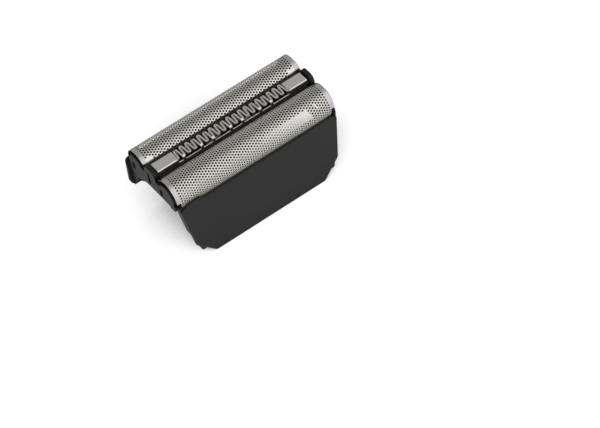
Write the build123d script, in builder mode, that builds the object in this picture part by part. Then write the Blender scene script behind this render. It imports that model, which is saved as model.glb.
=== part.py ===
"""Foil cassette of an electric shaver.

Two arched foils float on springs in a moulded frame, with a sprung long-hair trimmer between them.
X runs along the foils, -Y is the side of the tall skirt, and Z is up from the skirts' lower edges.
"""

import os
from math import ceil, cos, radians, sin, sqrt, tan

from build123d import *

# Foils: arched sheets, clamped at both long edges
foil_length = 50.6
foil_radius = 4.6
foil_sheet = 0.15
foil_inner_angle = 52.0
foil_outer_angle = 105.0
foil_inner_leg = 1.6
foil_overhang = 1.1
foil_float = 0.9
hole_width = 1.9
hole_pitch = 3.8
hole_rows = 4
hole_row_angle = 30.0
hole_middle_angle = 10.0
hole_end_band = 2.4

# Cradles under the foils, and the strips at the foils' inner edges
carrier_depth = 3.0
carrier_end = 0.9
carrier_rail = 0.9
inner_rail_angle = 44.0
outer_rail_angle = 97.0
strip_sheet = 0.5
strip_height = 2.6

# Trimmer comb: a folded steel channel whose top is cut to a serpentine
comb_below_crown = 0.7
comb_width = 3.72
comb_sheet = 0.35
comb_bend = 0.3
comb_wall_height = 2.2
sill_height = 0.9
left_block = 6.46
right_block = 5.9
tooth_pitch = 1.875
tooth_tip = 0.45
tooth_band = 0.6
slot_root = 0.3
slot_side = 0.7
leg_width = 0.8
front_first_leg = 2
rear_first_leg = 1
teeth_per_leg = 2.5

# Moving blade, its slider and the bent spring between them
blade_margin = 0.4
blade_sheet = 0.3
blade_pitch = 1.5
blade_slot_width = 0.6
blade_slot_depth = 0.85
blade_stroke = 1.2
slider_inset = 1.2
slider_width = 2.2
slider_height = 1.5
slider_post = 1.2
slider_post_inset = 3.0
fork_depth = 4.2
fork_cheek = 1.6
drive_pin = 2.0
pressure_spring_span = 16.0
pressure_spring_width = 1.4

# Beam that carries the comb
beam_width = 4.6
beam_height = 3.6
beam_floor = 1.0
beam_gap = 0.2
beam_end_plate = 0.3
beam_end_drop = 1.0
trimmer_float = 1.5

# Skirts of the frame
skirt_height = 22.6
skirt_below_axis = 0.5
skirt_wall = 1.1
skirt_lip = 0.5
lip_taper = 3.2
skirt_top_round = 1.2
skirt_corner_round = 1.0
skirt_edge_chamfer = 0.2
front_edge_drop = 1.7
front_inset = 0.4
front_slant = 2.3
front_corner_width = 5.3
front_corner_height = 5.8
front_tab_place = 20.6
front_tab_width = 6.0
front_tab_rise = 0.9
front_tab_slope = 1.2
front_return_wall = 0.6
front_return_depth = 1.8
front_return_drop = 12.9
guide_rib_width = 2.0
guide_rib_depth = 1.7
guide_rib_inset = 2.2
guide_rib_low = 2.4
guide_rib_high = 9.0
rear_wing = 1.2
rear_wing_slant = 0.6
rear_shoulder_drop = 10.2
rear_shoulder_step = 3.2
rear_shoulder_round = 2.4
rear_foot_inset = 10.4

# End walls of the frame
end_wall = 1.2
wall_front_gap = 0.6
wall_low_drop = 2.9
wall_foot_width = 2.0
wall_foot_depth = 0.6
wall_foot_inset = 2.1
hump_margin = 0.25
hump_rise = 0.6
hump_round = 1.7
valley_drop = 2.4
archway_start = 1.0

# Guide lugs of the floating parts
lug_width = 1.0
lug_length = 1.2
foil_lug_height = 1.4
foil_lug_rise = 0.5
inner_lug_offset = 2.6
outer_lug_offset = 1.4
trimmer_lug_height = 2.2
trimmer_lug_drop = 1.6
trimmer_lug_offset = 0.9

# Spring retainers and bent leaf springs
retainer_width = 2.0
retainer_height = 1.2
retainer_inset = 0.4
retainer_drop = 5.1
ledge_depth = 1.2
ledge_height = 1.0
spring_sheet = 0.15
spring_width = 1.6
spring_foot = 0.8
spring_crown = 1.2
foil_spring_span = 5.0
trimmer_spring_span = 7.2

# Clearances
seat_gap = 0.02
run_gap = 0.05
guide_gap = 0.15
stop_gap = 0.1
arch_gap = 0.15
skirt_gap = 0.2
beam_wall_gap = 0.28
carrier_wall_gap = 0.4
shoulder_gap = 0.5
trimmer_gap = 0.755

# Places across: the foils stand off the trimmer's beam, and the skirts stand off the foils
leg_face = foil_radius * sin(radians(foil_inner_angle))
axis_y = beam_width / 2 + trimmer_gap + strip_sheet + seat_gap + leg_face
skirt_outer = axis_y + foil_radius + skirt_gap + skirt_lip
skirt_inner = skirt_outer - skirt_wall

# Places along: the walls stand off the cradles, and the comb and skirts follow the walls
carrier_length = foil_length - 2 * foil_overhang
wall_inner = carrier_length / 2 + carrier_wall_gap
wall_outer = wall_inner + end_wall
beam_half = wall_inner - beam_wall_gap
comb_length = 2 * (beam_half - beam_end_plate - seat_gap)
tooth_count = int((comb_length - left_block - right_block) / tooth_pitch)
serpentine_left = left_block - comb_length / 2
serpentine_right = serpentine_left + tooth_count * tooth_pitch
front_teeth = [serpentine_left + (i + 0.5) * tooth_pitch for i in range(tooth_count)]
rear_teeth = [serpentine_left + (i + 1.0) * tooth_pitch for i in range(tooth_count - 1)]
blade_length = tooth_count * tooth_pitch - 2 * (blade_stroke + blade_margin)

# Heights: everything above the skirts follows the foils' axis
axis_z = skirt_height + skirt_below_axis
comb_top = axis_z + foil_radius - comb_below_crown
foil_inside = foil_radius - foil_sheet
seat_radius = foil_inside - seat_gap
arch_radius = foil_inside - foil_float - arch_gap
wall_shoulder = axis_z - foil_float - stop_gap - shoulder_gap
wall_low_edge = axis_z - wall_low_drop
carrier_bottom = axis_z - carrier_depth
foil_lug_top = axis_z + foil_lug_rise
beam_top = comb_top - comb_wall_height - beam_gap
beam_bottom = beam_top - beam_height
trimmer_lug_top = comb_top - trimmer_lug_drop
retainer_top = axis_z - retainer_drop
rear_shoulder = skirt_height - rear_shoulder_drop
front_edge = skirt_height - front_edge_drop

os.makedirs("parts", exist_ok=True)


def save(builder, name):
    """Label a finished piece and write it to its own file."""
    builder.part.label = name
    export_step(builder.part, f"parts/{name}.step")


# Trimmer comb

# One slot of the serpentine, open to -Y: a narrow root, sloping sides, and a mouth flared round the tips
with BuildSketch() as slot:
    edge = comb_width / 2
    mouth = (tooth_pitch - tooth_tip) / 2
    with BuildLine():
        Polyline(
            (0, edge - tooth_band),
            (slot_root / 2, edge - tooth_band),
            (slot_side / 2, tooth_tip - edge),
            (mouth, -edge),
            (0, -edge),
        )
        mirror(about=Plane.YZ)
    make_face()


def side_windows(legs):
    """The gaps of a side wall as (start, end), from the left block past each leg to the right block."""
    starts = [serpentine_left, *[x + leg_width / 2 for x in legs]]
    ends = [*[x - leg_width / 2 for x in legs], serpentine_right]
    return zip(starts, ends)


def leg_count(teeth, first):
    """How many legs a row of teeth has, from the first leg's tooth on."""
    return int((len(teeth) - 1 - first) / teeth_per_leg) + 1


# The legs stand at every second or third tooth, and the two sides take turns
front_leg_places = [
    front_teeth[int(front_first_leg + i * teeth_per_leg)]
    for i in range(leg_count(front_teeth, front_first_leg))
]
rear_leg_places = [
    rear_teeth[ceil(rear_first_leg + i * teeth_per_leg)]
    for i in range(leg_count(rear_teeth, rear_first_leg))
]

with BuildPart() as trimmer_comb:
    with BuildSketch(Plane.YZ):
        with Locations((0, comb_top)):
            Rectangle(comb_width, comb_wall_height, align=(Align.CENTER, Align.MAX))
        with Locations((0, comb_top - comb_sheet)):
            Rectangle(
                comb_width - 2 * comb_sheet,
                comb_wall_height,
                align=(Align.CENTER, Align.MAX),
                mode=Mode.SUBTRACT,
            )
    extrude(amount=comb_length / 2, both=True)
    with BuildSketch(Plane.XY.offset(comb_top)):
        with Locations(*[(x, 0) for x in rear_teeth]):
            add(slot.sketch)
        with Locations(*[(x, 0) for x in front_teeth]):
            add(slot.sketch, rotation=180)
    extrude(amount=-comb_sheet, mode=Mode.SUBTRACT)
    window_height = comb_wall_height - comb_sheet - sill_height
    for side, legs in ((-1, front_leg_places), (1, rear_leg_places)):
        for start, end in side_windows(legs):
            with Locations(((start + end) / 2, side * comb_width / 2, comb_top - comb_sheet)):
                Box(
                    end - start,
                    4 * comb_sheet,
                    window_height,
                    align=(Align.CENTER, Align.CENTER, Align.MAX),
                    mode=Mode.SUBTRACT,
                )
    # The plain blocks keep the round bend of the folded sheet
    top_edges = edges().filter_by(Axis.X).group_by(Axis.Z)[-1]
    fillet(top_edges.filter_by(lambda e: e.length > tooth_pitch), comb_bend)
save(trimmer_comb, "trimmer_comb")

# Moving blade: a toothed strip under the comb, with holes for the slider's posts
blade_top = comb_top - comb_sheet - seat_gap
blade_bottom = blade_top - blade_sheet
blade_width = comb_width - 2 * comb_sheet - 2 * run_gap
blade_slots = int((blade_length - 2 * blade_pitch) / blade_pitch)
slider_length = blade_length - 2 * slider_inset
post_spacing = slider_length - 2 * slider_post_inset
post_width = slider_width / 2
with BuildPart() as trimmer_blade:
    with BuildSketch(Plane.XY.offset(blade_bottom)):
        Rectangle(blade_length, blade_width)
        for side, align_y in ((-1, Align.MIN), (1, Align.MAX)):
            with Locations((0, side * blade_width / 2)):
                with GridLocations(blade_pitch, 0, blade_slots, 1):
                    Rectangle(
                        blade_slot_width,
                        blade_slot_depth,
                        align=(Align.CENTER, align_y),
                        mode=Mode.SUBTRACT,
                    )
        with GridLocations(post_spacing, 0, 2, 1):
            Rectangle(slider_post + 2 * run_gap, post_width + 2 * run_gap, mode=Mode.SUBTRACT)
    extrude(amount=blade_sheet)
save(trimmer_blade, "trimmer_blade")

# Slider: a bar in the beam's channel, with two posts up to the blade and a fork down to the drive pin
slider_bottom = beam_bottom + beam_floor + run_gap
slider_top = slider_bottom + slider_height
fork_width = drive_pin + 2 * fork_cheek
with BuildPart() as blade_slider:
    with Locations((0, 0, slider_bottom)):
        Box(slider_length, slider_width, slider_height, align=(Align.CENTER, Align.CENTER, Align.MIN))
        Box(fork_width, slider_width, fork_depth, align=(Align.CENTER, Align.CENTER, Align.MAX))
    with BuildSketch(Plane.XZ):
        with Locations((0, slider_bottom - fork_depth)):
            Rectangle(drive_pin, fork_depth - drive_pin / 2, align=(Align.CENTER, Align.MIN))
        with Locations((0, slider_bottom - drive_pin / 2)):
            Circle(drive_pin / 2)
    extrude(amount=slider_width, both=True, mode=Mode.SUBTRACT)
    with Locations((0, 0, slider_top)):
        with GridLocations(post_spacing, 0, 2, 1):
            Box(
                slider_post,
                post_width,
                blade_top - run_gap - slider_top,
                align=(Align.CENTER, Align.CENTER, Align.MIN),
            )
save(blade_slider, "blade_slider")


def bent_leaf(plane, width, span, low, high):
    """A leaf spring bent from strip: flat feet at low, slanting arms and a flat crown at high."""
    with BuildPart() as leaf:
        with BuildSketch(plane):
            with BuildLine():
                Polyline(
                    (-span / 2, low),
                    (spring_foot - span / 2, low),
                    (-spring_crown / 2, high - spring_sheet),
                    (spring_crown / 2, high - spring_sheet),
                    (span / 2 - spring_foot, low),
                    (span / 2, low),
                )
                offset(amount=spring_sheet, kind=Kind.INTERSECTION, side=Side.LEFT)
            make_face()
        extrude(amount=width / 2, both=True)
    return leaf


blade_pressure_spring = bent_leaf(
    Plane.XZ,
    pressure_spring_width,
    pressure_spring_span,
    slider_top + seat_gap,
    blade_bottom - seat_gap,
)
save(blade_pressure_spring, "blade_pressure_spring")

# Beam: a channel under the comb, with solid seats under the comb's plain ends, end plates and guide lugs
seat_start = blade_length / 2 + blade_stroke + guide_gap
seat_width = comb_width - 2 * comb_sheet - 2 * seat_gap
seat_length = comb_length / 2 - seat_start
channel_width = slider_width + 2 * guide_gap
with BuildPart() as trimmer_carrier:
    with BuildSketch(Plane.YZ):
        with Locations((0, beam_bottom)):
            Rectangle(beam_width, beam_height, align=(Align.CENTER, Align.MIN))
        with Locations((0, beam_bottom + beam_floor)):
            Rectangle(channel_width, beam_height, align=(Align.CENTER, Align.MIN), mode=Mode.SUBTRACT)
    extrude(amount=beam_half, both=True)
    with Locations((0, 0, beam_bottom + beam_floor)):
        with GridLocations(2 * seat_start + seat_length, 0, 2, 1):
            Box(
                seat_length,
                seat_width,
                comb_top - comb_sheet - seat_gap - beam_bottom - beam_floor,
                align=(Align.CENTER, Align.CENTER, Align.MIN),
            )
    with Locations((0, 0, beam_bottom)):
        with GridLocations(2 * beam_half - beam_end_plate, 0, 2, 1):
            Box(
                beam_end_plate,
                beam_width,
                comb_top - beam_end_drop - beam_bottom,
                align=(Align.CENTER, Align.CENTER, Align.MIN),
            )
        Box(
            fork_width + 2 * blade_stroke + 2 * guide_gap,
            channel_width,
            beam_floor,
            align=(Align.CENTER, Align.CENTER, Align.MIN),
            mode=Mode.SUBTRACT,
        )
    for side in (-1, 1):
        with Locations((side * (beam_half + lug_length / 2), -side * trimmer_lug_offset, trimmer_lug_top)):
            Box(
                lug_length,
                lug_width,
                trimmer_lug_height,
                align=(Align.CENTER, Align.CENTER, Align.MAX),
            )
save(trimmer_carrier, "trimmer_carrier")

# Front foil and its cradle. Their section plane has x outwards, away from the trimmer, and y up.
front_section = Plane(origin=(0, -axis_y, axis_z), x_dir=(0, -1, 0), z_dir=(-1, 0, 0))


def on_arc(radius, angle):
    """Point of the foil's section at an angle from the crown, positive outwards."""
    return (radius * sin(radians(angle)), radius * cos(radians(angle)))


def leg_point(radius, depth):
    """Point of the straight outer leg, which leaves the arc on its tangent, at a depth below the axis."""
    start_x, start_y = on_arc(radius, foil_outer_angle)
    return (start_x - (start_y + depth) * tan(radians(foil_outer_angle - 90)), -depth)


def degrees_from_crown(sine):
    """Angle from the crown whose sine is given, in degrees."""
    return Vector(0, 1).get_angle(Vector(sine, sqrt(1 - sine**2)))


def arc_span(radius, inner_x):
    """Start angle and size of a section arc, from the outer leg to the point at -inner_x."""
    return 90 - foil_outer_angle, foil_outer_angle + degrees_from_crown(inner_x / radius)


leg_back = leg_face - foil_sheet
bend_top = sqrt(foil_inside**2 - leg_back**2)
bend_face = sqrt(foil_radius**2 - leg_face**2)
leg_end = bend_face - foil_inner_leg
outer_leg_depth = carrier_depth - stop_gap
hole_columns = int((foil_length - 2 * hole_end_band) / hole_pitch)

with BuildPart() as front_foil:
    with BuildSketch(front_section):
        with BuildLine():
            CenterArc((0, 0), foil_radius, *arc_span(foil_radius, leg_face))
            CenterArc((0, 0), foil_inside, *arc_span(foil_inside, leg_back))
            Polyline(
                (-leg_face, bend_face),
                (-leg_face, leg_end),
                (-leg_back, leg_end),
                (-leg_back, bend_top),
            )
            Polyline(
                on_arc(foil_radius, foil_outer_angle),
                leg_point(foil_radius, outer_leg_depth),
                leg_point(foil_inside, outer_leg_depth),
                on_arc(foil_inside, foil_outer_angle),
            )
        make_face()
    extrude(amount=foil_length / 2, both=True)
    # Beyond the cradle only the arch goes on, over the end wall: both legs end there
    for side in (-1, 1):
        with Locations((side * foil_length / 2, -axis_y, axis_z - stop_gap)):
            Box(
                2 * foil_overhang,
                4 * foil_radius,
                4 * foil_radius,
                align=(Align.CENTER, Align.CENTER, Align.MAX),
                mode=Mode.SUBTRACT,
            )
        with Locations((side * foil_length / 2, leg_back - axis_y, axis_z + bend_top)):
            Box(
                2 * foil_overhang,
                2 * foil_sheet,
                2 * foil_inner_leg,
                align=(Align.CENTER, Align.MIN, Align.MAX),
                mode=Mode.SUBTRACT,
            )
    for row in range(hole_rows):
        across, up = on_arc(foil_radius, hole_middle_angle + (row - (hole_rows - 1) / 2) * hole_row_angle)
        row_plane = Plane(
            origin=(0, -axis_y - across, axis_z + up),
            x_dir=(1, 0, 0),
            z_dir=(0, -across, up),
        )
        with BuildSketch(row_plane):
            with Locations((hole_pitch / 4 * (-1) ** row, 0)):
                with GridLocations(hole_pitch, 0, hole_columns, 1):
                    RegularPolygon(hole_width / 2, 6)
        extrude(amount=2 * foil_sheet, both=True, mode=Mode.SUBTRACT)
save(front_foil, "front_foil")

rail_face = leg_back - seat_gap
rail_bend = sqrt(seat_radius**2 - rail_face**2)
with BuildPart() as front_foil_carrier:
    # Two end plates close the whole section
    with BuildSketch(front_section):
        with BuildLine():
            CenterArc((0, 0), seat_radius, *arc_span(seat_radius, rail_face))
            Polyline(
                (-rail_face, rail_bend),
                (-rail_face, -carrier_depth),
                leg_point(seat_radius, carrier_depth),
                on_arc(seat_radius, foil_outer_angle),
            )
        make_face()
    extrude(amount=carrier_length / 2, both=True)
    # The hollow between them, open below, leaves one rail at each long edge
    with BuildSketch(front_section):
        with BuildLine():
            hollow_top = CenterArc(
                (0, 0),
                seat_radius + foil_sheet,
                90 - outer_rail_angle,
                outer_rail_angle + inner_rail_angle,
            )
            rail_x, rail_y = on_arc(seat_radius - carrier_rail, -inner_rail_angle)
            low_x, low_y = leg_point(seat_radius, carrier_depth)
            Polyline(
                hollow_top @ 1,
                (rail_x, rail_y),
                (carrier_rail - rail_face, rail_y - carrier_rail / 2),
                (carrier_rail - rail_face, 2 * low_y),
                (low_x - carrier_rail, 2 * low_y),
                (low_x - carrier_rail, low_y),
                (on_arc(seat_radius, foil_outer_angle)[0] - carrier_rail, hollow_top.position_at(0).Y),
                hollow_top @ 0,
            )
        make_face()
    extrude(amount=carrier_length / 2 - carrier_end, both=True, mode=Mode.SUBTRACT)
    for side, offset_y in ((-1, inner_lug_offset), (1, -outer_lug_offset)):
        with Locations((side * (carrier_length + lug_length) / 2, offset_y - axis_y, foil_lug_top)):
            Box(
                lug_length,
                lug_width,
                foil_lug_height,
                align=(Align.CENTER, Align.CENTER, Align.MAX),
            )
save(front_foil_carrier, "front_foil_carrier")

with BuildPart() as front_foil_strip:
    with BuildSketch(front_section):
        with Locations((-leg_face - seat_gap, bend_face - strip_sheet / 2)):
            Rectangle(strip_sheet, strip_height, align=(Align.MAX, Align.MAX))
        chamfer(vertices().group_by(Axis.Y)[-1].sort_by(Axis.X)[0], strip_sheet / 2)
    extrude(amount=carrier_length / 2, both=True)
save(front_foil_strip, "front_foil_strip")

# The rear foil, cradle and strip are the same pieces turned half a turn about Z
for builder, name in (
    (front_foil, "rear_foil"),
    (front_foil_carrier, "rear_foil_carrier"),
    (front_foil_strip, "rear_foil_strip"),
):
    with BuildPart() as turned:
        add(builder.part.rotate(Axis.Z, 180))
    save(turned, name)

# Frame


def skirt_section(side):
    """Section of a skirt: a plain outer face, and a wall that thins to a lip beside the foil."""
    return (
        (side * skirt_outer, 0),
        (side * skirt_outer, skirt_height),
        (side * (skirt_outer - skirt_lip), skirt_height),
        (side * skirt_inner, skirt_height - lip_taper),
        (side * skirt_inner, 0),
    )


front_top = wall_outer - front_inset
front_low = front_top - front_slant
front_foot = front_low - front_corner_width
with BuildPart() as front_skirt:
    with BuildSketch(Plane.YZ):
        Polygon(*skirt_section(-1), align=None)
    extrude(amount=2 * front_top, both=True)
    with BuildSketch(Plane.XZ):
        Polygon(
            (-front_foot, 0),
            (front_foot, 0),
            (front_low, front_corner_height),
            (front_top, skirt_height),
            (-front_top, skirt_height),
            (-front_low, front_corner_height),
            align=None,
        )
        # The upper edge lies below the foil's axis, with one low tab near its left end
        Rectangle(3 * front_top, front_edge, align=(Align.CENTER, Align.MIN), mode=Mode.INTERSECT)
        fillet(vertices().group_by(Axis.Y)[-1], skirt_top_round)
        fillet(vertices().group_by(Axis.Y)[1], skirt_corner_round)
        with Locations((-front_tab_place, front_edge)):
            Polygon(
                (-front_tab_width / 2, 0),
                (front_tab_slope - front_tab_width / 2, front_tab_rise),
                (front_tab_width / 2 - front_tab_slope, front_tab_rise),
                (front_tab_width / 2, 0),
                align=None,
            )
    extrude(amount=2 * skirt_outer, both=True, mode=Mode.INTERSECT)
    chamfer(faces().sort_by(Axis.Y)[0].edges(), skirt_edge_chamfer)
    # Returns along both slanting sides
    return_low = skirt_height - front_return_drop
    with BuildSketch(Plane.XZ.offset(skirt_inner - front_return_depth)):
        Polygon(
            (-front_low, front_corner_height),
            (front_low, front_corner_height),
            (front_top, skirt_height),
            (-front_top, skirt_height),
            align=None,
        )
        offset(amount=-front_return_wall, mode=Mode.SUBTRACT)
        with Locations((0, return_low)):
            Rectangle(
                2 * front_top,
                wall_shoulder - return_low,
                align=(Align.CENTER, Align.MIN),
                mode=Mode.INTERSECT,
            )
    extrude(amount=front_return_depth + skirt_wall / 2)
    # Guide ribs, which reach past the cut-off lower corners
    with BuildSketch(Plane.XZ.offset(skirt_inner - guide_rib_depth)):
        with Locations((0, (guide_rib_low + guide_rib_high) / 2)):
            with GridLocations(2 * (front_low - guide_rib_inset), 0, 2, 1):
                RectangleRounded(
                    guide_rib_width,
                    guide_rib_high - guide_rib_low,
                    guide_rib_width / 2 - run_gap,
                )
    extrude(amount=guide_rib_depth + skirt_wall / 2)

rear_end = wall_outer + rear_wing
rear_step = rear_end - rear_shoulder_step
rear_foot = rear_step - rear_foot_inset
with BuildPart() as rear_skirt:
    with BuildSketch(Plane.YZ):
        Polygon(*skirt_section(1), align=None)
    extrude(amount=2 * rear_end, both=True)
    with BuildSketch(Plane.XZ):
        Polygon(
            (-rear_foot, 0),
            (rear_foot, 0),
            (rear_step, rear_shoulder),
            (rear_end, rear_shoulder),
            (rear_end - rear_wing_slant, skirt_height),
            (rear_wing_slant - rear_end, skirt_height),
            (-rear_end, rear_shoulder),
            (-rear_step, rear_shoulder),
            align=None,
        )
        fillet(vertices().group_by(Axis.Y)[-1], skirt_top_round)
        shoulders = vertices().group_by(Axis.Y)[1].sort_by(Axis.X)
        fillet([shoulders[0], shoulders[-1]], rear_shoulder_round)
    extrude(amount=2 * skirt_outer, both=True, mode=Mode.INTERSECT)
    chamfer(faces().sort_by(Axis.Y)[-1].edges(), skirt_edge_chamfer)

# End wall at +X, from the front return to the rear skirt: arches under the foils, a hump and an archway
archway_drop = wall_low_edge - rear_shoulder
archway_reach = skirt_inner - archway_start
archway_radius = (archway_drop**2 + archway_reach**2) / (2 * archway_drop)
hump_width = beam_width + 2 * hump_margin
with BuildPart() as end_wall_right:
    with BuildSketch(Plane.YZ.offset(wall_inner)):
        with Locations((wall_front_gap - skirt_inner, rear_shoulder)):
            Rectangle(
                2 * skirt_inner - wall_front_gap + skirt_wall / 2,
                wall_shoulder - rear_shoulder,
                align=Align.MIN,
            )
        with Locations((0, rear_shoulder)):
            Rectangle(
                2 * axis_y - arch_radius,
                comb_top - valley_drop - rear_shoulder,
                align=(Align.CENTER, Align.MIN),
            )
        with Locations((-axis_y, axis_z), (axis_y, axis_z)):
            Circle(arch_radius)
        with Locations((0, comb_top + hump_rise - comb_wall_height)):
            RectangleRounded(hump_width, 2 * comb_wall_height, hump_round)
        with BuildLine():
            way_front = -skirt_outer
            foot_end = wall_foot_inset - skirt_inner + wall_foot_width / 2
            foot_start = foot_end - wall_foot_width
            foot_low = wall_low_edge - wall_foot_depth
            curve = CenterArc(
                (archway_start, wall_low_edge - archway_radius),
                archway_radius,
                90,
                -degrees_from_crown(archway_reach / archway_radius),
            )
            Polyline(
                curve @ 0,
                (foot_end, wall_low_edge),
                (foot_end, foot_low),
                (foot_start, foot_low),
                (foot_start, wall_low_edge),
                (way_front, wall_low_edge),
                (way_front, 0),
                (skirt_inner, 0),
                curve @ 1,
            )
        make_face(mode=Mode.SUBTRACT)
    extrude(amount=end_wall)

foil_slot_height = foil_lug_height + foil_float + 2 * stop_gap
trimmer_slot_height = trimmer_lug_height + trimmer_float + 2 * stop_gap
ledge_x = carrier_length / 2 - retainer_inset - retainer_width / 2
with BuildPart() as cassette_frame:
    add(front_skirt.part)
    add(rear_skirt.part)
    add(end_wall_right.part)
    add(mirror(end_wall_right.part, about=Plane.YZ, mode=Mode.PRIVATE))
    # Slots of the left wall, and of the right wall half a turn round
    for side in (-1, 1):
        for place_y, slot_top, slot_height in (
            (axis_y - inner_lug_offset, foil_lug_top, foil_slot_height),
            (-trimmer_lug_offset, trimmer_lug_top, trimmer_slot_height),
            (-axis_y - outer_lug_offset, foil_lug_top, foil_slot_height),
        ):
            with Locations((side * wall_outer, side * place_y, slot_top + stop_gap)):
                Box(
                    4 * end_wall,
                    lug_width + 2 * guide_gap,
                    slot_height,
                    align=(Align.CENTER, Align.CENTER, Align.MAX),
                    mode=Mode.SUBTRACT,
                )
    # Ledges that carry the spring retainers
    with Locations((0, 0, retainer_top - retainer_height)):
        with GridLocations(2 * ledge_x, 2 * skirt_inner - ledge_depth + skirt_wall / 2, 2, 2):
            Box(
                retainer_width,
                ledge_depth + skirt_wall / 2,
                ledge_height,
                align=(Align.CENTER, Align.CENTER, Align.MAX),
            )
save(cassette_frame, "cassette_frame")

# Spring retainers, which lie on the ledges, and the springs on them
for side, name in ((-1, "left"), (1, "right")):
    with BuildPart() as retainer:
        with BuildSketch(Plane.XY.offset(retainer_top)):
            with Locations((side * ledge_x, 0)):
                Rectangle(retainer_width, 2 * skirt_inner - 2 * guide_gap)
        extrude(amount=-retainer_height)
    save(retainer, f"spring_retainer_{name}")
    for spring_name, place_y, span, high in (
        ("front_foil", -axis_y, foil_spring_span, carrier_bottom),
        ("trimmer", 0, trimmer_spring_span, beam_bottom),
        ("rear_foil", axis_y, foil_spring_span, carrier_bottom),
    ):
        spring_plane = Plane(origin=(side * ledge_x, place_y, 0), x_dir=(0, 1, 0), z_dir=(1, 0, 0))
        leaf = bent_leaf(spring_plane, spring_width, span, retainer_top, high - seat_gap)
        save(leaf, f"{spring_name}_spring_{name}")
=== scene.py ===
"""Looks of a shaver foil head: perforated foils, serpentine comb, leaf springs and mouldings.

X runs along the foils, -Y is the side of the tall skirt and Z is up. Lengths are in metres.
"""

import math

import bmesh
import bpy
import numpy as np
from bpy.props import FloatProperty, FloatVectorProperty, IntProperty, PointerProperty
from mathutils import Matrix, Vector


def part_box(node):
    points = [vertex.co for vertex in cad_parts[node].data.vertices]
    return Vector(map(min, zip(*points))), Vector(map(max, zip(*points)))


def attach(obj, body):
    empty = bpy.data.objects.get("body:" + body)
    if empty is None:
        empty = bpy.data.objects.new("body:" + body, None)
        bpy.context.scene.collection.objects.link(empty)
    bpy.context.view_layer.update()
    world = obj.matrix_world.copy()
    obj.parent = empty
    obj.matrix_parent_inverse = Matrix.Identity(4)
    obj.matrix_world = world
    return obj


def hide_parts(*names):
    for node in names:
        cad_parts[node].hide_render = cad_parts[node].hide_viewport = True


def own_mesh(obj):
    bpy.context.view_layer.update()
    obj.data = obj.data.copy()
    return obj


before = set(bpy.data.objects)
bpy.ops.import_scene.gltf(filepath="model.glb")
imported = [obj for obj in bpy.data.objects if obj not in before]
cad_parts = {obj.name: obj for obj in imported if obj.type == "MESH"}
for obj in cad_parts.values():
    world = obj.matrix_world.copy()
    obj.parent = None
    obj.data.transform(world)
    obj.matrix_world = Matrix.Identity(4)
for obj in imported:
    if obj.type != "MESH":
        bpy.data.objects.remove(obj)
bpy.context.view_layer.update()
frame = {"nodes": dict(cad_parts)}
MM = 0.001

# Points along a tip's arc and along a fold, strips of the foil's outer margin, and the turn between
# faces from which an edge is crisp
ARC_POINTS = 13
FOLD_POINTS = 7
OUTER_STRIPS = 3
CRISP_TURN = math.radians(35)

# Points this close are one, and triangles under this share of u v are left out
WELD = 1e-4 * MM
SLIVER = 0.01

bl_info = {
    "name": "Shaver foil head",
    "version": (1, 0, 0),
    "blender": (4, 5, 0),
    "location": "View3D > Sidebar > Foil head",
    "description": "Builds the foils, comb and springs of a foil head and finishes its mouldings",
    "category": "Object",
}


def linear(code):
    """The linear colour of an sRGB hex code, with an opaque alpha."""
    shares = [int(code[i : i + 2], 16) / 255 for i in (1, 3, 5)]
    return (*[c / 12.92 if c <= 0.04045 else ((c + 0.055) / 1.055) ** 2.4 for c in shares], 1.0)


def length(name, description, default, lowest=0.0):
    """A length property whose default and least value are given in millimetres."""
    return FloatProperty(
        name=name,
        description=description,
        default=default * MM,
        min=lowest * MM,
        precision=5,
        unit="LENGTH",
    )


def angle(name, description, default):
    """An angle property whose default is given in degrees."""
    return FloatProperty(
        name=name, description=description, default=math.radians(default), subtype="ANGLE"
    )


def number(name, description, default):
    """A property for a plain number."""
    return FloatProperty(name=name, description=description, default=default, min=0.0)


def factor(name, description, default):
    """A property for a share from 0 to 1."""
    return FloatProperty(
        name=name, description=description, default=default, min=0.0, max=1.0, subtype="FACTOR"
    )


def whole_number(name, description, default, lowest):
    """A property for a number of like things."""
    return IntProperty(name=name, description=description, default=default, min=lowest)


def colour(name, description, code):
    """A colour property whose default is given as an sRGB hex code."""
    return FloatVectorProperty(
        name=name,
        description=description,
        default=linear(code),
        size=4,
        min=0.0,
        max=1.0,
        subtype="COLOR",
    )


class FoilSettings(bpy.types.PropertyGroup):
    """Sizes and metal of the two foils"""

    radius: length("Radius", "Radius of the arch's outer face", 4.6)
    outer_angle: angle(
        "Outer angle", "Angle from the crown at which the arch ends in the straight outer leg", 105
    )
    inner_leg: length(
        "Inner leg", "Height of the straight leg beside the trimmer, up to the arch's line", 1.6
    )
    fold: length("Fold", "Radius of the fold between the inner leg and the arch", 0.8)
    sheet: length("Sheet", "Thickness of the foil", 0.08)
    hole_pitch: length("Hole pitch", "Distance between the middles of neighbouring holes", 0.816)
    hole_width: length("Hole width", "Width of a hole across its flats", 0.56)
    columns: whole_number("Columns", "Columns of holes along the foil", 68, 2)
    rows: whole_number("Rows", "Rows of holes round the section", 17, 2)
    inner_margin: length("Inner margin", "Plain strip along the inner leg's edge", 0.7)
    corner_rows: whole_number("Corner rows", "Rows that stop short at the inner corners", 3, 0)
    corner_columns: whole_number(
        "Corner columns", "Columns that those rows leave out at each end", 3, 0
    )
    end_band: length("End band", "Width of the plain, duller band at each end", 1.2)
    metal: colour("Metal", "Colour of the nickel", "#dfdcd5")
    band: colour("Band", "Colour of the nickel on the end bands", "#c7c5c1")


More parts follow.
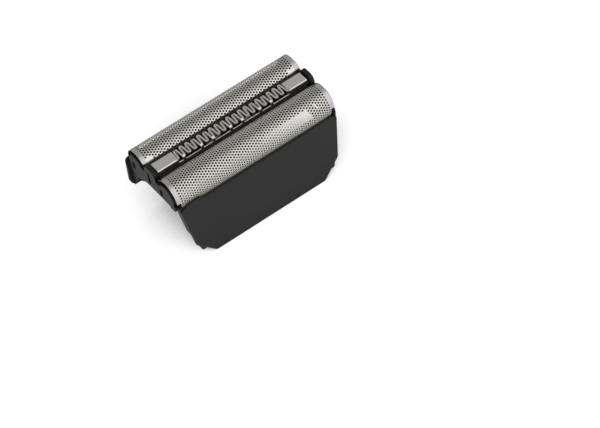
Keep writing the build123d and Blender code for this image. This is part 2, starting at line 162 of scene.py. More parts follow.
class CombSettings(bpy.types.PropertyGroup):
    """Sizes and metal of the trimmer's comb and blade"""

    left_block: length("Left block", "Length of the plain block at the left end", 6.46)
    tooth_pitch: length("Tooth pitch", "Distance between neighbouring tips on one side", 1.875)
    teeth: whole_number("Teeth", "Pitches between the two blocks", 19, 2)
    band: length("Band", "Width of the serpentine band", 0.5)
    tip_radius: length("Tip radius", "Radius of the band's middle line round a tip", 0.36)
    sheet: length("Sheet", "Thickness of the comb's sheet", 0.35)
    bend: length("Bend", "Radius of the folded edges of the blocks", 0.4)
    slant: length("Slant", "Stretch over which a tip on a leg slants down", 0.32)
    edge: length("Edge", "Chamfer along the ground edges of the band", 0.03)
    sill: length("Sill", "Height of the bars along the lower edges", 0.9)
    sill_edge: length("Sill edge", "Chamfer that coining leaves along the sills and legs", 0.07)
    leg: length("Leg", "Width of the legs that carry the band", 0.8)
    legs: whole_number("Legs", "Legs on each side", 7, 1)
    teeth_per_leg: number("Teeth per leg", "Pitches from leg to leg, on average", 2.5)
    front_leg: number("Front leg", "Place of the first leg in front, in pitches", 1.0)
    rear_leg: number("Rear leg", "Place of the first leg at the back, in pitches", 0.5)
    steel: colour("Steel", "Colour of the ground steel", "#dedcd6")
    roughness: factor("Roughness", "Roughness of the ground steel", 0.34)
    # The blade is ground steel like the comb; its colour is darkened to paint the shade that falls
    # on it under the comb
    blade: colour("Blade", "Colour of the blade, which hardening has darkened", "#4b4946")
    blade_roughness: factor("Blade roughness", "Roughness of the blade", 0.45)


class SpringSettings(bpy.types.PropertyGroup):
    """Sizes and metal of the leaf springs under the foils and the trimmer"""

    sheet: length("Sheet", "Thickness of the strip", 0.15)
    foot: length("Foot", "Length of the flat feet", 0.8)
    crown: length("Crown", "Length of the flat crown", 1.2)
    steel: colour("Steel", "Colour of the rolled strip", "#dedcd6")
    roughness: factor("Roughness", "Roughness of the rolled strip", 0.26)


class MouldingSettings(bpy.types.PropertyGroup):
    """Colours and grains of the moulded pieces"""

    frame: colour("Frame", "Colour of the frame", "#121310")
    frame_grain: length("Frame grain", "Size of the satin grain of the frame", 0.35)
    frame_roughness: factor("Frame roughness", "Roughness of the frame", 0.5)
    frame_relief: factor("Frame relief", "Strength of the frame's grain", 0.25)
    carrier: colour("Carriers", "Colour of the cradles, beam and retainers", "#1e1e1b")
    carrier_grain: length("Carrier grain", "Size of the carriers' faint grain", 0.5)
    carrier_roughness: factor("Carrier roughness", "Roughness of the carriers", 0.36)
    carrier_relief: factor("Carrier relief", "Strength of the carriers' grain", 0.08)
    slider: colour("Slider", "Colour of the blade's slider", "#262625")
    slider_grain: length("Slider grain", "Size of the slider's grain", 0.4)
    slider_roughness: factor("Slider roughness", "Roughness of the slider", 0.45)
    slider_relief: factor("Slider relief", "Strength of the slider's grain", 0.12)


class StageSettings(bpy.types.PropertyGroup):
    """Camera, floor and light of the room"""

    heading: angle("Heading", "Camera's turn from +Y", 26.055)
    elevation: angle("Elevation", "Camera's height angle", 48.04)
    roll: angle("Roll", "Camera's turn about its axis", 12.566)
    distance: length("Distance", "From the camera to the floor point that it looks at", 733.282)
    target_x: length("Target X", "Place along the foils of the point looked at", 5.803)
    target_y: length("Target Y", "Place across the foils of the point looked at", -17.368, -1000)
    lens: FloatProperty(
        name="Lens",
        description="Focal length in millimetres",
        default=165.08,
        min=1.0,
        unit="CAMERA",
    )
    floor: colour("Floor", "Colour of the floor", "#b4b4b4")
    floor_size: length("Floor size", "Length of the floor's sides", 8000)
    glow: number("Glow", "Brightness that the floor shows on its own", 0.78)
    mirror_front: number("Mirror front", "The same in a mirror, for the floor in front", 0.6)
    mirror_back: number("Mirror back", "The same in a mirror, for the floor behind", 0.0)
    mirror_left: number("Mirror left", "The same in a mirror, for the floor at the left", 0.45)
    shade_reach: length("Shade reach", "Distance within which the part shades the floor", 60)
    room: number("Room", "Brightness of the room behind", 0.45)
    front: number("Front", "Brightness of the room's front half", 1.12)


def add_node(tree, kind, inputs=None, **settings):
    """Add a node with its settings, and give each named input a value or a link from a socket."""
    made = tree.nodes.new(kind)
    for name, value in settings.items():
        setattr(made, name, value)
    for name, value in (inputs or {}).items():
        if isinstance(value, bpy.types.NodeSocket):
            tree.links.new(value, made.inputs[name])
        else:
            made.inputs[name].default_value = value
    return made


def new_surface(name):
    """A new material, with its node tree and its output node."""
    material = bpy.data.materials.new(name)
    material.use_nodes = True
    material.node_tree.nodes.clear()
    return material, material.node_tree, material.node_tree.nodes.new("ShaderNodeOutputMaterial")


# Nickel: width of the patches of gloss and their roughness, width and depth of the ripple, how far
# the matt margin takes to fade in, what it adds to the roughness, and how far the end bands take
NICKEL_PATCH = 3 * MM
NICKEL_ROUGHNESS = (0.2, 0.32)
NICKEL_RIPPLE = 0.6 * MM
NICKEL_RIPPLE_DEPTH = 0.02 * MM
MATT_FADE = 0.6 * MM
MATT_ROUGHNESS = 0.4
BAND_FADE = 0.2 * MM


def electroformed_nickel(name, metal, band, band_from, matt_below):
    """Nickel grown in a bath: a clear, slightly rippled mirror whose gloss varies by patches.

    Below the given height the sheet stays matt, as the bath leaves it, because no polish reaches
    behind the skirt. The plain bands at the ends, from the given distance outwards, are greyer,
    because nothing rubs them bright.
    """
    material, tree, output = new_surface(name)
    place = add_node(tree, "ShaderNodeTexCoord").outputs["Object"]
    patches = add_node(
        tree, "ShaderNodeTexNoise", {"Vector": place, "Scale": 1 / NICKEL_PATCH, "Detail": 2.0}
    )
    axes = add_node(tree, "ShaderNodeSeparateXYZ", {"Vector": place})
    along = add_node(tree, "ShaderNodeMath", {0: axes.outputs["X"]}, operation="ABSOLUTE")
    at_end = add_node(
        tree,
        "ShaderNodeMapRange",
        {"Value": along.outputs[0], "From Min": band_from - BAND_FADE, "From Max": band_from},
    )
    tint = add_node(
        tree,
        "ShaderNodeMix",
        {0: at_end.outputs["Result"], 6: metal, 7: band},
        data_type="RGBA",
    )
    matt = add_node(
        tree,
        "ShaderNodeMapRange",
        {
            "Value": axes.outputs["Z"],
            "From Min": matt_below,
            "From Max": matt_below - MATT_FADE,
            "To Max": MATT_ROUGHNESS,
        },
        interpolation_type="SMOOTHSTEP",
    )
    smoothest, roughest = NICKEL_ROUGHNESS
    polished = add_node(
        tree,
        "ShaderNodeMapRange",
        {"Value": patches.outputs["Fac"], "To Min": smoothest, "To Max": roughest},
    )
    gloss = add_node(
        tree,
        "ShaderNodeMath",
        {0: polished.outputs["Result"], 1: matt.outputs["Result"]},
        operation="ADD",
    )
    ripple = add_node(tree, "ShaderNodeTexNoise", {"Vector": place, "Scale": 1 / NICKEL_RIPPLE})
    bump = add_node(
        tree,
        "ShaderNodeBump",
        {"Height": ripple.outputs["Fac"], "Strength": 0.1, "Distance": NICKEL_RIPPLE_DEPTH},
    )
    shader = add_node(
        tree,
        "ShaderNodeBsdfPrincipled",
        {
            "Base Color": tint.outputs[2],
            "Metallic": 1.0,
            "Roughness": gloss.outputs[0],
            "Normal": bump.outputs["Normal"],
        },
    )
    tree.links.new(shader.outputs["BSDF"], output.inputs["Surface"])
    return material


# Ground steel: length, width and depth of a scratch, and how far scratches take the roughness up
# and down. Real scratches are about 0.02 mm apart. They are drawn at 0.12 mm, so that they show.
SCRATCH_LENGTH = 4 * MM
SCRATCH_WIDTH = 0.12 * MM
SCRATCH_DEPTH = 0.02 * MM
SCRATCH_SPREAD = 0.08


def ground_stainless(name, metal, roughness):
    """Stainless strip ground along its length: fine scratches stretch each highlight across."""
    material, tree, output = new_surface(name)
    place = add_node(tree, "ShaderNodeTexCoord").outputs["Object"]
    stretched = add_node(
        tree,
        "ShaderNodeMapping",
        {"Vector": place, "Scale": (1 / SCRATCH_LENGTH, 1 / SCRATCH_WIDTH, 1 / SCRATCH_WIDTH)},
    )
    scratches = add_node(
        tree,
        "ShaderNodeTexNoise",
        {"Vector": stretched.outputs["Vector"], "Scale": 1.0, "Detail": 3.0},
    )
    gloss = add_node(
        tree,
        "ShaderNodeMapRange",
        {
            "Value": scratches.outputs["Fac"],
            "To Min": roughness - SCRATCH_SPREAD,
            "To Max": roughness + SCRATCH_SPREAD,
        },
    )
    bump = add_node(
        tree,
        "ShaderNodeBump",
        {"Height": scratches.outputs["Fac"], "Strength": 0.15, "Distance": SCRATCH_DEPTH},
    )
    shader = add_node(
        tree,
        "ShaderNodeBsdfPrincipled",
        {
            "Base Color": metal,
            "Metallic": 1.0,
            "Roughness": gloss.outputs["Result"],
            "Normal": bump.outputs["Normal"],
        },
    )
    tree.links.new(shader.outputs["BSDF"], output.inputs["Surface"])
    return material


# Mouldings: width of the cloudy marks that the flow leaves and the colour's share in their dark
# parts, depth of the grain, and how far it takes the roughness up and down
FLOW_MARK = 9 * MM
FLOW_SHARE = 0.8
GRAIN_DEPTH = 0.03 * MM
GRAIN_SPREAD = 0.06


def moulded_plastic(name, paint, grain, roughness, relief):
    """Plastic moulded in an eroded tool: a fine even grain breaks the gloss into a soft sheen."""
    material, tree, output = new_surface(name)
    place = add_node(tree, "ShaderNodeTexCoord").outputs["Object"]
    grains = add_node(
        tree, "ShaderNodeTexNoise", {"Vector": place, "Scale": 1 / grain, "Detail": 2.0}
    )
    flow = add_node(
        tree, "ShaderNodeTexNoise", {"Vector": place, "Scale": 1 / FLOW_MARK, "Detail": 1.0}
    )
    darker = (*[FLOW_SHARE * c for c in paint[:3]], 1.0)
    tint = add_node(
        tree, "ShaderNodeMix", {0: flow.outputs["Fac"], 6: paint, 7: darker}, data_type="RGBA"
    )
    gloss = add_node(
        tree,
        "ShaderNodeMapRange",
        {
            "Value": grains.outputs["Fac"],
            "To Min": roughness - GRAIN_SPREAD,
            "To Max": roughness + GRAIN_SPREAD,
        },
    )
    bump = add_node(
        tree,
        "ShaderNodeBump",
        {"Height": grains.outputs["Fac"], "Strength": relief, "Distance": GRAIN_DEPTH},
    )
    shader = add_node(
        tree,
        "ShaderNodeBsdfPrincipled",
        {
            "Base Color": tint.outputs[2],
            "Roughness": gloss.outputs["Result"],
            "IOR": 1.53,
            "Specular IOR Level": 0.3,
            "Normal": bump.outputs["Normal"],
        },
    )
    tree.links.new(shader.outputs["BSDF"], output.inputs["Surface"])
    return material


def dress(material, *nodes):
    """Give CAD nodes one finish."""
    for name in nodes:
        materials = frame["nodes"][name].data.materials
        materials.clear()
        materials.append(material)


def new_piece(name, points, polygons, material):
    """A mesh object at the origin, with outward faces and crisp edges where its faces turn."""
    mesh = bpy.data.meshes.new(name)
    mesh.from_pydata(points.tolist(), [], polygons)
    made = bmesh.new()
    made.from_mesh(mesh)
    bmesh.ops.recalc_face_normals(made, faces=made.faces)
    made.to_mesh(mesh)
    made.free()
    mesh.shade_smooth()
    mesh.set_sharp_from_angle(angle=CRISP_TURN)
    mesh.materials.append(material)
    piece = bpy.data.objects.new(name, mesh)
    bpy.context.scene.collection.objects.link(piece)
    return piece


def foil_plan(size, half_length, total, notches):
    """Flat plan of a foil, as welded points (x, s), quads and triangles, all counter-clockwise.

    The holes lie on a honeycomb with u = pitch / (2 sqrt 3) and v = pitch / 2: the middle of cell
    (i, j) is at x = 3 u (i - (columns - 1) / 2), and at s = v (2 j + 1) past the inner margin
    where i is even, or 2 v j where it is odd. A cell with a hole is a ring of six quads between
    the cell's corners and the same hexagon shrunk to the hole. A plain cell is six triangles, with
    its corners held inside the field. Straight bands on lines through the field's border points
    fill the rest of the sheet. Beyond the field's ends the sheet keeps only what lies between the
    two notches.
    """
    u, v = size.hole_pitch / (2 * math.sqrt(3)), size.hole_pitch / 2
    start = size.inner_margin
    end = start + 2 * v * size.rows
    reach = 3 * u * (size.columns - 1) / 2 + 2 * u
    i, j = np.meshgrid(np.arange(-1, size.columns + 1), np.arange(size.rows + 1))
    i, j = i.ravel(), j.ravel()
    even = i % 2 == 0
    inside = ~even | (j < size.rows)
    i, j, even = i[inside], j[inside], even[inside]
    middles = np.stack([3 * u * (i - (size.columns - 1) / 2), start + v * (2 * j + even)], -1)
    hexagon = np.array([(2 * u, 0), (u, v), (-u, v), (-2 * u, 0), (-u, -v), (u, -v)])
    low, high = np.array([-reach, start]), np.array([reach, end])
    corners = np.clip(middles[:, None] + hexagon, low, high)
    edge_column = (i < size.corner_columns) | (i >= size.columns - size.corner_columns)
    holed = (i >= 0) & (i < size.columns) & (even | ((j > 0) & (j < size.rows)))
    holed &= ~(edge_column & (j < size.corner_rows))
    rims = middles[holed, None] + hexagon * size.hole_width / size.hole_pitch
    cells = corners[holed]
    rings = np.stack([cells, np.roll(cells, -1, 1), np.roll(rims, -1, 1), rims], 2)
    rings = rings.reshape(-1, 4, 2)
    flat = corners[~holed]
    hubs = np.broadcast_to(np.clip(middles[~holed], low, high)[:, None], flat.shape)
    fans = np.stack([flat, np.roll(flat, -1, 1), hubs], 2).reshape(-1, 3, 2)
    one, two = fans[:, 1] - fans[:, 0], fans[:, 2] - fans[:, 0]
    fans = fans[np.abs(one[:, 0] * two[:, 1] - one[:, 1] * two[:, 0]) > SLIVER * u * v]
    columns = 3 * u * (np.arange(size.columns) - (size.columns - 1) / 2)
    across = np.concatenate([columns[::2] - u, columns[::2] + u, columns[1::2]])
    across = np.concatenate([[-half_length, -reach], np.sort(across), [reach, half_length]])
    margin = np.linspace(end, total, OUTER_STRIPS + 1)[1:]
    along = np.concatenate([[0], start + v * np.arange(2 * size.rows + 1), margin])
    low_notch, high_notch = along[np.abs(along - np.array(notches)[:, None]).argmin(1)]
    a, b = np.meshgrid(np.arange(len(across) - 1), np.arange(len(along) - 1))
    a, b = a.ravel(), b.ravel()
    x0, x1, s0, s1 = across[a], across[a + 1], along[b], along[b + 1]
    mid_x, mid_s = np.abs(x0 + x1) / 2, (s0 + s1) / 2
    field = (mid_x < reach) & (mid_s > start) & (mid_s < end)
    sheet = (mid_x < reach) | ((mid_s > low_notch) & (mid_s < high_notch))
    bands = np.stack([x0, s0, x1, s0, x1, s1, x0, s1], -1).reshape(-1, 4, 2)[sheet & ~field]
    soup = np.concatenate([p.reshape(-1, 2) for p in (rings, bands, fans)])
    keys = np.round(soup / WELD).astype(np.int64)
    _, first, weld = np.unique(keys, axis=0, return_index=True, return_inverse=True)
    weld = weld.ravel()
    quads = weld[: 4 * (len(rings) + len(bands))].reshape(-1, 4)
    triangles = weld[4 * len(quads) :].reshape(-1, 3)
    return soup[first], quads, triangles


def open_edges(*polygons):
    """The directed edges of polygons whose reverse belongs to no polygon."""
    edges = [np.stack([p, np.roll(p, -1, 1)], -1).reshape(-1, 2) for p in polygons]
    edges = np.concatenate(edges)
    size = edges.max() + 1
    forth = edges[:, 0] * size + edges[:, 1]
    back = edges[:, 1] * size + edges[:, 0]
    return edges[~np.isin(forth, back)]


def foil_stations(size, inner):
    """Ends of a foil's inner leg, fold and arch along its section, the fold's angle and its middle.

    The fold's circle touches the leg, which stands at the distance inner from the arch's axis, and
    touches the arch from inside, so its middle is at radius - fold from the axis.
    """
    across = inner - size.fold
    up = math.sqrt((size.radius - size.fold) ** 2 - across**2)
    turn = math.atan2(across, up)
    leg = size.inner_leg + up - math.sqrt(size.radius**2 - inner**2)
    fold_end = leg + size.fold * (math.pi / 2 - turn)
    arch_end = fold_end + size.radius * (turn + size.outer_angle)
    return leg, fold_end, arch_end, turn, np.array([-across, up])


def foil_section(size, s, depth, stations):
    """Points of a foil's section at lengths s along its outer face and a depth under it.

    From the arch's axis, the first value points outwards and the second up. The inner leg rises
    straight, the fold turns by (s - leg) / fold, the arch by (s - fold end) / radius, and the outer
    leg runs on along the arch's last tangent.
    """
    leg, fold_end, arch_end, turn, middle = stations
    folded = s < fold_end
    slope = np.where(
        folded,
        (np.maximum(s, leg) - leg) / size.fold - math.pi / 2,
        (np.minimum(s, arch_end) - fold_end) / size.radius - turn,
    )
    reach = np.where(folded, size.fold, size.radius) - depth
    rest = np.minimum(s - leg, 0) + np.maximum(s - arch_end, 0)
    normal = np.stack([np.sin(slope), np.cos(slope)], -1)
    tangent = np.stack([np.cos(slope), -np.sin(slope)], -1)
    centre = np.where(folded[:, None], middle, 0)
    return centre + reach[:, None] * normal + rest[:, None] * tangent


class FOIL_HEAD_OT_foils(bpy.types.Operator):
    """Make both foils as arched sheets with a honeycomb of holes"""

    bl_idname = "foil_head.foils"
    bl_label = "Perforated foils"

    def execute(self, context):
        size = context.scene.foil_head_foils
        low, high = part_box("front_foil")
        axis_y, axis_z = low.y + size.radius, high.z - size.radius
        band_from = high.x - size.end_band
        nickel = electroformed_nickel(
            "electroformed nickel foil", size.metal, size.band, band_from, axis_z
        )
        stations = foil_stations(size, high.y - axis_y)
        leg, fold_end, arch_end = stations[:3]
        foot = axis_z + size.radius * math.cos(size.outer_angle) - low.z
        total = arch_end + foot / math.sin(size.outer_angle)
        upright = arch_end - size.radius * (size.outer_angle - math.pi / 2)
        notches = ((leg + fold_end) / 2, upright)
        plan, quads, triangles = foil_plan(size, high.x, total, notches)
        layers = []
        for depth in (0.0, size.sheet):
            section = foil_section(size, plan[:, 1], depth, stations)
            layers.append(
                np.column_stack([plan[:, 0], axis_y - section[:, 0], axis_z + section[:, 1]])
            )
        points = np.concatenate(layers)
        under = len(plan)
        rim = open_edges(quads, triangles)
        walls = np.column_stack([rim[:, 1], rim[:, 0], rim[:, 0] + under, rim[:, 1] + under])
        polygons = [
            *quads.tolist(),
            *triangles.tolist(),
            *(quads[:, ::-1] + under).tolist(),
            *(triangles[:, ::-1] + under).tolist(),
            *walls.tolist(),
        ]
        for body, turn in (("front_foil", (1, 1, 1)), ("rear_foil", (-1, -1, 1))):
            foil = new_piece(f"{body}_sheet", points * np.array(turn), polygons, nickel)
            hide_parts(body)
            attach(foil, body)
        return {"FINISHED"}


def swept(stations, first=0):
    """Points and polygons of closed profiles at stations, an array (station, profile point, xyz).

    Each profile point joins its neighbour and the next station's two points in one quad, and the
    first and last profiles are closed by flat ends. The points are counted from the number first.
    """
    count, around = stations.shape[:2]
    ring = np.arange(around)
    a = (np.arange(count - 1)[:, None] * around + ring).ravel() + first
    b = (np.arange(count - 1)[:, None] * around + np.roll(ring, -1)).ravel() + first
    quads = np.stack([a, b, b + around, a + around], -1)
    ends = [(ring[::-1] + first).tolist(), (ring + (count - 1) * around + first).tolist()]
    return stations.reshape(-1, 3), quads.tolist() + ends


def carried(x, profile):
    """Stations of a profile of (y, z) points, carried straight from one x to another."""
    return np.stack([np.column_stack([np.full(len(profile), end), profile]) for end in x])


def bar(x, y, z, edge):
    """Stations of a bar along x, with a chamfer along its upper edge on the side of its first y."""
    outer, inner = y
    slope = math.copysign(edge, inner - outer)
    foot, top = z
    profile = [
        (outer, foot),
        (inner, foot),
        (inner, top),
        (outer + slope, top),
        (outer, top - edge),
    ]
    return carried(x, profile)


class FOIL_HEAD_OT_comb(bpy.types.Operator):
    """Make the trimmer's comb: a serpentine band between two folded blocks, on legs and sills"""

    bl_idname = "foil_head.comb"
    bl_label = "Trimmer comb"

    def execute(self, context):
        size = context.scene.foil_head_comb
        low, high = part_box("trimmer_comb")
        # Tips and legs stand at whole pitches in front and at half pitches behind.
        places = size.teeth_per_leg * np.arange(size.legs)
        front_legs = np.ceil(size.front_leg + places)
        rear_legs = np.floor(size.rear_leg + places) + 0.5
        on_legs = 2 * np.concatenate([front_legs, rear_legs])
        shells = [self.serpentine(size, low, high, on_legs)]
        left = low.x + size.left_block
        right = left + size.teeth * size.tooth_pitch
        for x in ((low.x, left), (right, high.x)):
            shells.append(self.block(size, x, low, high))
        sill_top = low.z + size.sill
        leg_top = high.z - size.slant - size.edge
        for y, legs in (
            ((low.y, low.y + size.sheet), front_legs),
            ((high.y, high.y - size.sheet), rear_legs),
        ):
            shells.append(bar((left, right), y, (low.z, sill_top), size.sill_edge))
            for place in legs:
                x = left + place * size.tooth_pitch
                x = (x - size.leg / 2, x + size.leg / 2)
                shells.append(bar(x, y, (sill_top - size.sill_edge, leg_top), size.sill_edge))
        points, polygons = [], []
        count = 0
        for shell in shells:
            shell_points, shell_polygons = swept(shell, count)
            points.append(shell_points)
            polygons += shell_polygons
            count += len(shell_points)
        steel = ground_stainless("ground stainless comb", size.steel, size.roughness)
        comb = new_piece("trimmer_comb_serpentine", np.concatenate(points), polygons, steel)
        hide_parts("trimmer_comb")
        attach(comb, "trimmer")
        return {"FINISHED"}

    def serpentine(self, size, low, high, on_legs):
        """Stations of a band round tips that take turns on the two sides.

        Tip k is at x = left + k pitch / 2, in front where k is even. Its arc about the tip's middle
        m runs through the angles t from -turn to turn as (x + r sin t, side (m + r cos t)), with r
        more or less than the tip radius by half the band, and straight flanks join the arcs. A tip
        on a leg slants down at 45 degrees over its last stretch.
        """
        half_width, half_band = high.y, size.band / 2
        middle = half_width - half_band - size.tip_radius
        step = size.tooth_pitch / 2
        gap = math.hypot(step, 2 * middle)
        flank = math.atan2(step, 2 * middle) - math.asin(2 * size.tip_radius / gap)
        turn = np.linspace(flank - math.pi / 2, math.pi / 2 - flank, ARC_POINTS)
        tips = np.arange(2 * size.teeth + 1)
        x = low.x + size.left_block + tips * step
        side = np.where(tips % 2 == 0, -1.0, 1.0)
        inset = 1 - size.edge / half_band
        offsets = np.array([-1, -1, -inset, inset, 1, 1]) * half_band
        drops = np.array([size.sheet, size.edge, 0, 0, size.edge, size.sheet])
        radius = size.tip_radius + side[:, None, None] * offsets
        out = middle + radius * np.cos(turn)[:, None]
        past = np.clip(out - half_width + size.slant, 0, size.slant)
        past = past * np.isin(tips, on_legs)[:, None, None]
        return np.stack(
            [
                x[:, None, None] + radius * np.sin(turn)[:, None],
                side[:, None, None] * out,
                high.z - drops - past,
            ],
            -1,
        ).reshape(-1, len(drops), 3)

    def block(self, size, x, low, high):
        """Stations of a folded channel: two walls and a top, with quarter circles at the folds."""
        fold = np.linspace(0, math.pi / 2, FOLD_POINTS)
        outer = np.column_stack([np.sin(fold), np.cos(fold)]) * size.bend
        corner = np.array([high.y - size.bend, high.z - size.bend])
        inside = high.y - size.sheet
        wall = [(high.y, low.z), (inside, low.z), (inside, high.z - size.sheet)]
        right = np.concatenate([corner + outer, wall])
        return carried(x, np.concatenate([right, right[::-1] * np.array([-1, 1])]))


class FOIL_HEAD_OT_mouldings(bpy.types.Operator):
    """Finish the frame, the cradles, the beam, the retainers, the strips and the slider"""

    bl_idname = "foil_head.mouldings"
    bl_label = "Mouldings"

    def execute(self, context):
        look = context.scene.foil_head_mouldings
        satin = moulded_plastic(
            "ABS moulded satin",
            look.frame,
            look.frame_grain,
            look.frame_roughness,
            look.frame_relief,
        )
        smooth = moulded_plastic(
            "acetal moulded smooth",
            look.carrier,
            look.carrier_grain,
            look.carrier_roughness,
            look.carrier_relief,
        )
        sliding = moulded_plastic(
            "nylon moulded slider",
            look.slider,
            look.slider_grain,
            look.slider_roughness,
            look.slider_relief,
        )
        dress(satin, "cassette_frame")
        dress(
            smooth,
            "front_foil_carrier",
            "rear_foil_carrier",
            "trimmer_carrier",
            "spring_retainer_left",
            "spring_retainer_right",
            "front_foil_strip",
            "rear_foil_strip",
        )
        dress(sliding, "blade_slider")
        return {"FINISHED"}


class FOIL_HEAD_OT_blade(bpy.types.Operator):
    """Finish the moving blade, whose darkened colour paints the shade under the comb"""

    bl_idname = "foil_head.blade"
    bl_label = "Moving blade"

    def execute(self, context):
        look = context.scene.foil_head_comb
        # The blade's darkened colour is painted shade, standing in for the shade under the comb
        steel = ground_stainless("stainless blade with painted shade", look.blade, look.blade_roughness)
        dress(steel, "trimmer_blade")
        return {"FINISHED"}


def bent_leaf(size, low, high):
    """Stations of a leaf spring bent from strip, carried along x from one edge to the other.

    The under side runs along a flat foot, up a slanting arm to the flat crown, and down again on
    the other side. The upper side lies one sheet above it, and its corners shift out by
    sheet tan(slope / 2), where the offset lines meet.
    """
    half = (high.y - low.y) / 2
    rise = high.z - low.z - size.sheet
    slope = math.atan2(rise, half - size.foot - size.crown / 2)
    shift = size.sheet * math.tan(slope / 2)
    z = np.array([0, 0, rise])
    under = np.array([-half, size.foot - half, -size.crown / 2])
    upper = under - np.array([0, shift, shift])
    y = np.concatenate([under, -under[::-1], -upper, upper[::-1]]) + (low.y + high.y) / 2
    z = np.concatenate([z, z[::-1], z + size.sheet, z[::-1] + size.sheet]) + low.z
    return carried((low.x, high.x), np.column_stack([y, z]))


class FOIL_HEAD_OT_springs(bpy.types.Operator):
    """Bend the leaf springs under the foils and the trimmer"""

    bl_idname = "foil_head.springs"
    bl_label = "Leaf springs"

    def execute(self, context):
        size = context.scene.foil_head_springs
        material = ground_stainless("rolled spring strip", size.steel, size.roughness)
        dress(material, "blade_pressure_spring")
        for sprung in ("front_foil", "rear_foil", "trimmer"):
            for end in ("left", "right"):
                node = f"{sprung}_spring_{end}"
                low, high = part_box(node)
                leaf = new_piece(f"{node}_leaf", *swept(bent_leaf(size, low, high)), material)
                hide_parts(node)
                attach(leaf, "frame")
                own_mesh(leaf)
        return {"FINISHED"}


# Floor: where its glow in mirrors fades from front to back and rises towards the left, the side
# that its light comes from, the shares of open sky between which the shade fades, and the share of
# its glow that full shade leaves
MIRROR_FADE_Y = (-20 * MM, 25 * MM)
MIRROR_FADE_X = (-24 * MM, -34 * MM)
BRIGHT_SIDE = (-0.3, -0.7, 0.65)
SHADE_FADE = (0.44, 0.82)
SHADE_GLOW = 0.04

# Room: the Y of the directions between which it passes from its back to its front
ROOM_FADE = (0.3, -0.6)

# Camera: its sensor in millimetres, and the nearest and farthest that it sees
SENSOR_WIDTH = 36.0
CLIP = (0.01, 20.0)


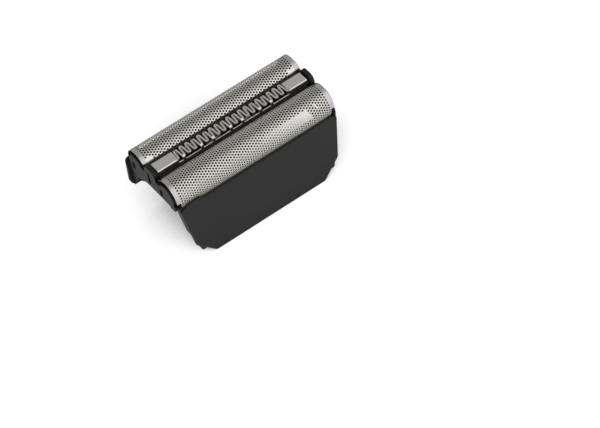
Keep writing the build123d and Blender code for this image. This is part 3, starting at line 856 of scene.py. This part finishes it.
class FOIL_HEAD_OT_stage(bpy.types.Operator):
    """Set up the white floor, the soft light and the camera"""

    bl_idname = "foil_head.stage"
    bl_label = "Stage"

    def execute(self, context):
        look = context.scene.foil_head_stage
        self.floor(look)
        self.light(context.scene, look)
        self.camera(context.scene, look)
        context.scene.view_settings.view_transform = "Standard"
        return {"FINISHED"}

    def floor(self, look):
        """A wide white sheet, which glows for the eye and for mirrors alone, and less in the shade.

        In mirrors it glows most in front and at the left, and not at all behind.
        """
        material, tree, output = new_surface("white paper floor")
        path = add_node(tree, "ShaderNodeLightPath")
        mirrored = add_node(
            tree,
            "ShaderNodeMath",
            {0: path.outputs["Is Glossy Ray"], 1: path.outputs["Is Transmission Ray"]},
            operation="MAXIMUM",
        )
        place = add_node(tree, "ShaderNodeTexCoord").outputs["Object"]
        place = add_node(tree, "ShaderNodeSeparateXYZ", {"Vector": place})
        left_glow = add_node(
            tree,
            "ShaderNodeMapRange",
            {
                "Value": place.outputs["X"],
                "From Min": MIRROR_FADE_X[0],
                "From Max": MIRROR_FADE_X[1],
                "To Max": look.mirror_left,
            },
        )
        mirror_glow = add_node(
            tree,
            "ShaderNodeMapRange",
            {
                "Value": place.outputs["Y"],
                "From Min": MIRROR_FADE_Y[0],
                "From Max": MIRROR_FADE_Y[1],
                "To Min": look.mirror_front,
                "To Max": look.mirror_back,
            },
        )
        mirror_glow = add_node(
            tree,
            "ShaderNodeMath",
            {0: mirror_glow.outputs["Result"], 1: left_glow.outputs["Result"]},
            operation="MAXIMUM",
        )
        mirror_glow = add_node(
            tree,
            "ShaderNodeMath",
            {0: mirrored.outputs[0], 1: mirror_glow.outputs[0]},
            operation="MULTIPLY",
        )
        full_glow = add_node(
            tree,
            "ShaderNodeMath",
            {0: path.outputs["Is Camera Ray"], 1: look.glow, 2: mirror_glow.outputs[0]},
            operation="MULTIPLY_ADD",
        )
        # The room is brightest in front, so the shade falls behind the part.
        bright_side = add_node(tree, "ShaderNodeCombineXYZ", dict(zip("XYZ", BRIGHT_SIDE)))
        sky = add_node(
            tree,
            "ShaderNodeAmbientOcclusion",
            {"Distance": look.shade_reach, "Normal": bright_side.outputs["Vector"]},
            samples=16,
        )
        open_sky = add_node(
            tree,
            "ShaderNodeMapRange",
            {
                "Value": sky.outputs["AO"],
                "From Min": SHADE_FADE[0],
                "From Max": SHADE_FADE[1],
                "To Min": SHADE_GLOW,
            },
            interpolation_type="SMOOTHSTEP",
        )
        glow = add_node(
            tree,
            "ShaderNodeMath",
            {0: full_glow.outputs[0], 1: open_sky.outputs["Result"]},
            operation="MULTIPLY",
        )
        glow = add_node(tree, "ShaderNodeEmission", {"Strength": glow.outputs[0]})
        paper = add_node(tree, "ShaderNodeBsdfDiffuse", {"Color": look.floor})
        both = add_node(tree, "ShaderNodeAddShader", {0: glow.outputs[0], 1: paper.outputs[0]})
        tree.links.new(both.outputs[0], output.inputs["Surface"])
        half = look.floor_size / 2
        corners = np.array([(-half, -half, 0), (half, -half, 0), (half, half, 0), (-half, half, 0)])
        floor = new_piece("floor", corners, [(0, 1, 2, 3)], material)

    def light(self, scene, look):
        """A room that is grey behind, and passes softly to bright in front."""
        world = bpy.data.worlds.new("studio")
        scene.world = world
        world.use_nodes = True
        tree = world.node_tree
        direction = add_node(tree, "ShaderNodeTexCoord").outputs["Generated"]
        across = add_node(tree, "ShaderNodeSeparateXYZ", {"Vector": direction}).outputs["Y"]
        soft = add_node(
            tree,
            "ShaderNodeMapRange",
            {
                "Value": across,
                "From Min": ROOM_FADE[0],
                "From Max": ROOM_FADE[1],
                "To Min": look.room,
                "To Max": look.front,
            },
            interpolation_type="SMOOTHSTEP",
        )
        background = tree.nodes["Background"]
        background.inputs["Color"].default_value = (1.0, 1.0, 1.0, 1.0)
        tree.links.new(soft.outputs["Result"], background.inputs["Strength"])

    def camera(self, scene, look):
        """Look at a point on the floor from a distance, with a turn about the line of sight."""
        flat = math.cos(look.elevation)
        forward = Vector(
            (
                math.sin(look.heading) * flat,
                math.cos(look.heading) * flat,
                -math.sin(look.elevation),
            )
        )
        level = forward.cross(Vector((0, 0, 1))).normalized()
        below = forward.cross(level)
        across = math.cos(look.roll) * level + math.sin(look.roll) * below
        down = forward.cross(across)
        data = bpy.data.cameras.new("camera")
        data.sensor_width = SENSOR_WIDTH
        data.lens = look.lens
        data.clip_start, data.clip_end = CLIP
        camera = bpy.data.objects.new("camera", data)
        scene.collection.objects.link(camera)
        turned = Matrix((across, -down, -forward)).transposed().to_4x4()
        place = Vector((look.target_x, look.target_y, 0.0)) - forward * look.distance
        camera.matrix_world = Matrix.Translation(place) @ turned
        scene.camera = camera


class VIEW3D_PT_foil_head(bpy.types.Panel):
    """Sidebar panel that lists the pieces of the foil head"""

    bl_label = "Foil head"
    bl_idname = "VIEW3D_PT_foil_head"
    bl_space_type = "VIEW_3D"
    bl_region_type = "UI"
    bl_category = "Foil head"

    def draw(self, context):
        for operator in OPERATORS:
            self.layout.operator(operator.bl_idname)


SETTINGS = {
    "foil_head_foils": FoilSettings,
    "foil_head_comb": CombSettings,
    "foil_head_springs": SpringSettings,
    "foil_head_mouldings": MouldingSettings,
    "foil_head_stage": StageSettings,
}
OPERATORS = (
    FOIL_HEAD_OT_foils,
    FOIL_HEAD_OT_comb,
    FOIL_HEAD_OT_mouldings,
    FOIL_HEAD_OT_blade,
    FOIL_HEAD_OT_springs,
    FOIL_HEAD_OT_stage,
)


def register():
    for kind in (*SETTINGS.values(), *OPERATORS, VIEW3D_PT_foil_head):
        bpy.utils.register_class(kind)
    for name, kind in SETTINGS.items():
        setattr(bpy.types.Scene, name, PointerProperty(type=kind))


def unregister():
    for name in SETTINGS:
        delattr(bpy.types.Scene, name)
    for kind in (VIEW3D_PT_foil_head, *reversed(OPERATORS), *SETTINGS.values()):
        bpy.utils.unregister_class(kind)


def main():
    """Build every piece and the stage."""
    register()
    bpy.ops.foil_head.foils()
    bpy.ops.foil_head.comb()
    bpy.ops.foil_head.mouldings()
    bpy.ops.foil_head.blade()
    bpy.ops.foil_head.springs()
    bpy.ops.foil_head.stage()


if __name__ == "__main__":
    main()
